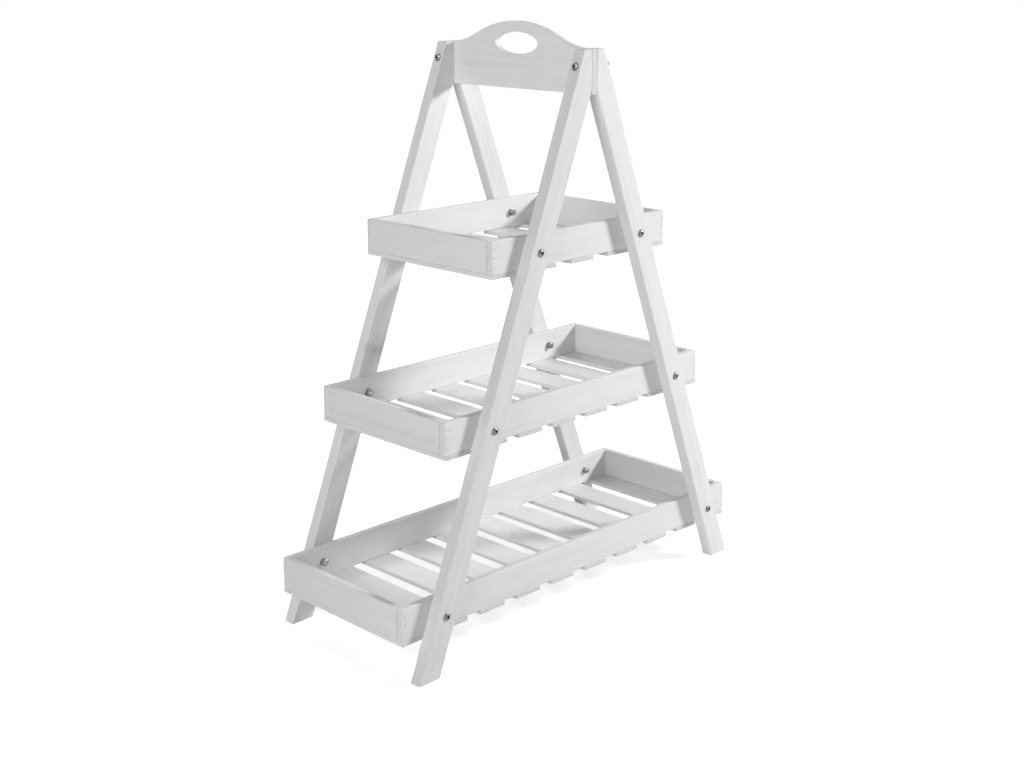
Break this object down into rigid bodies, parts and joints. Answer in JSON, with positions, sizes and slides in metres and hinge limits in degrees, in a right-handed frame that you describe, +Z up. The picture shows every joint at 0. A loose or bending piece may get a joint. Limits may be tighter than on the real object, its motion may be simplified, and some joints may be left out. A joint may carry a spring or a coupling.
{
  "type": "tiered plant stand",
  "caption": "Freestanding A-frame plant stand with shallow slatted trays stepped between sloping legs, and a crested top plate with an oval hand hole for carrying.",
  "frame": {"origin": "on the floor, midway between the four feet", "axes": "+X along the trays to the right as seen from the front, +Y from the front A-frame to the back A-frame, +Z up"},
  "size_m": [0.58, 0.2498, 0.715],
  "materials": {
    "white_washed_wood": "thin white wash over planed softwood, matt, faint grain",
    "zinc_steel": "zinc-plated steel, dulled"
  },
  "bodies": {
    "root": {"back_left_leg": "white_washed_wood", "back_right_leg": "white_washed_wood", "bottom_slat_01": "white_washed_wood", "bottom_slat_02": "white_washed_wood", "bottom_slat_03": "white_washed_wood", "bottom_slat_04": "white_washed_wood", "bottom_slat_05": "white_washed_wood", "bottom_slat_06": "white_washed_wood", "bottom_slat_07": "white_washed_wood", "bottom_slat_08": "white_washed_wood", "bottom_slat_09": "white_washed_wood", "bottom_slat_10": "white_washed_wood", "bottom_tray_back_board": "white_washed_wood", "bottom_tray_bolts": "zinc_steel", "bottom_tray_corner_nails": "zinc_steel", "bottom_tray_front_board": "white_washed_wood", "bottom_tray_left_end": "white_washed_wood", "bottom_tray_nuts": "zinc_steel", "bottom_tray_right_end": "white_washed_wood", "bottom_tray_slat_nails": "zinc_steel", "bottom_tray_washers": "zinc_steel", "front_left_leg": "white_washed_wood", "front_right_leg": "white_washed_wood", "handle_bolts": "zinc_steel", "handle_nuts": "zinc_steel", "handle_plate": "white_washed_wood", "handle_washers": "zinc_steel", "middle_slat_01": "white_washed_wood", "middle_slat_02": "white_washed_wood", "middle_slat_03": "white_washed_wood", "middle_slat_04": "white_washed_wood", "middle_slat_05": "white_washed_wood", "middle_slat_06": "white_washed_wood", "middle_slat_07": "white_washed_wood", "middle_slat_08": "white_washed_wood", "middle_tray_back_board": "white_washed_wood", "middle_tray_bolts": "zinc_steel", "middle_tray_corner_nails": "zinc_steel", "middle_tray_front_board": "white_washed_wood", "middle_tray_left_end": "white_washed_wood", "middle_tray_nuts": "zinc_steel", "middle_tray_right_end": "white_washed_wood", "middle_tray_slat_nails": "zinc_steel", "middle_tray_washers": "zinc_steel", "top_slat_01": "white_washed_wood", "top_slat_02": "white_washed_wood", "top_slat_03": "white_washed_wood", "top_slat_04": "white_washed_wood", "top_slat_05": "white_washed_wood", "top_tray_back_board": "white_washed_wood", "top_tray_bolts": "zinc_steel", "top_tray_corner_nails": "zinc_steel", "top_tray_front_board": "white_washed_wood", "top_tray_left_end": "white_washed_wood", "top_tray_nuts": "zinc_steel", "top_tray_right_end": "white_washed_wood", "top_tray_slat_nails": "zinc_steel", "top_tray_washers": "zinc_steel"}
  },
  "joints": []
}
